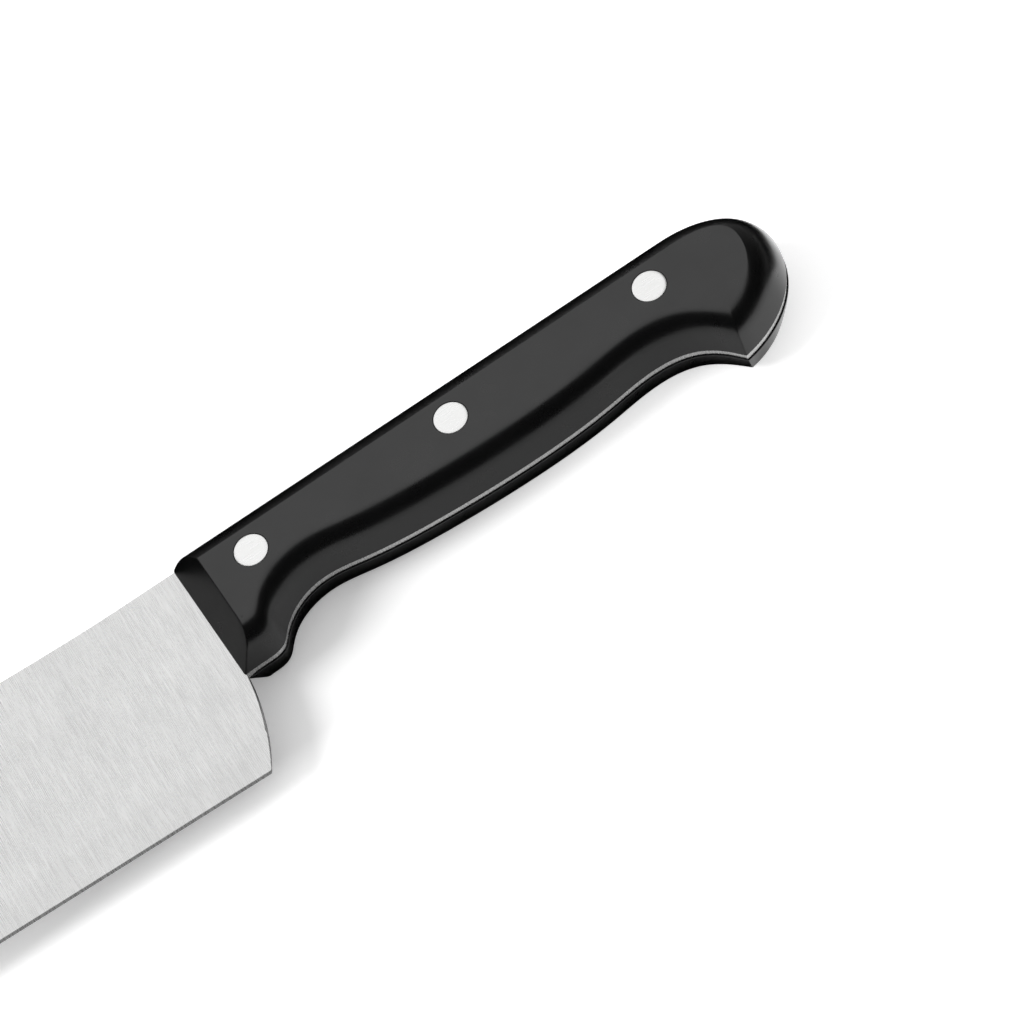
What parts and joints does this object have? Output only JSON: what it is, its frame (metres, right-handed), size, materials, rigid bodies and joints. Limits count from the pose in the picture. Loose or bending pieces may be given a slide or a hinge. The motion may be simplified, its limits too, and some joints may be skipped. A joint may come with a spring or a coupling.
{
  "type": "chef knife",
  "caption": "Chef knife with a broad blade, a full tang, black riveted handle scales with a front guard and a hooked butt.",
  "frame": {"origin": "middle of the knife's footprint, on the surface that the right scale's flat face lies on", "axes": "+X along the handle towards the butt, +Y towards the spine, +Z out of the left side, square to the blade"},
  "size_m": [0.3244, 0.0477, 0.0175],
  "materials": {
    "blade_steel": "fine cross-ground satin, finished bevel brighter",
    "scale_plastic": "black moulded plastic, satin, polished by the mould",
    "rivet_metal": "faced flush with the scales, fine lines"
  },
  "bodies": {
    "root": {"blade": "blade_steel", "scale_left": "scale_plastic", "scale_right": "scale_plastic", "rivet_1_male": "rivet_metal", "rivet_1_female": "rivet_metal", "rivet_2_male": "rivet_metal", "rivet_2_female": "rivet_metal", "rivet_3_male": "rivet_metal", "rivet_3_female": "rivet_metal"}
  },
  "joints": []
}
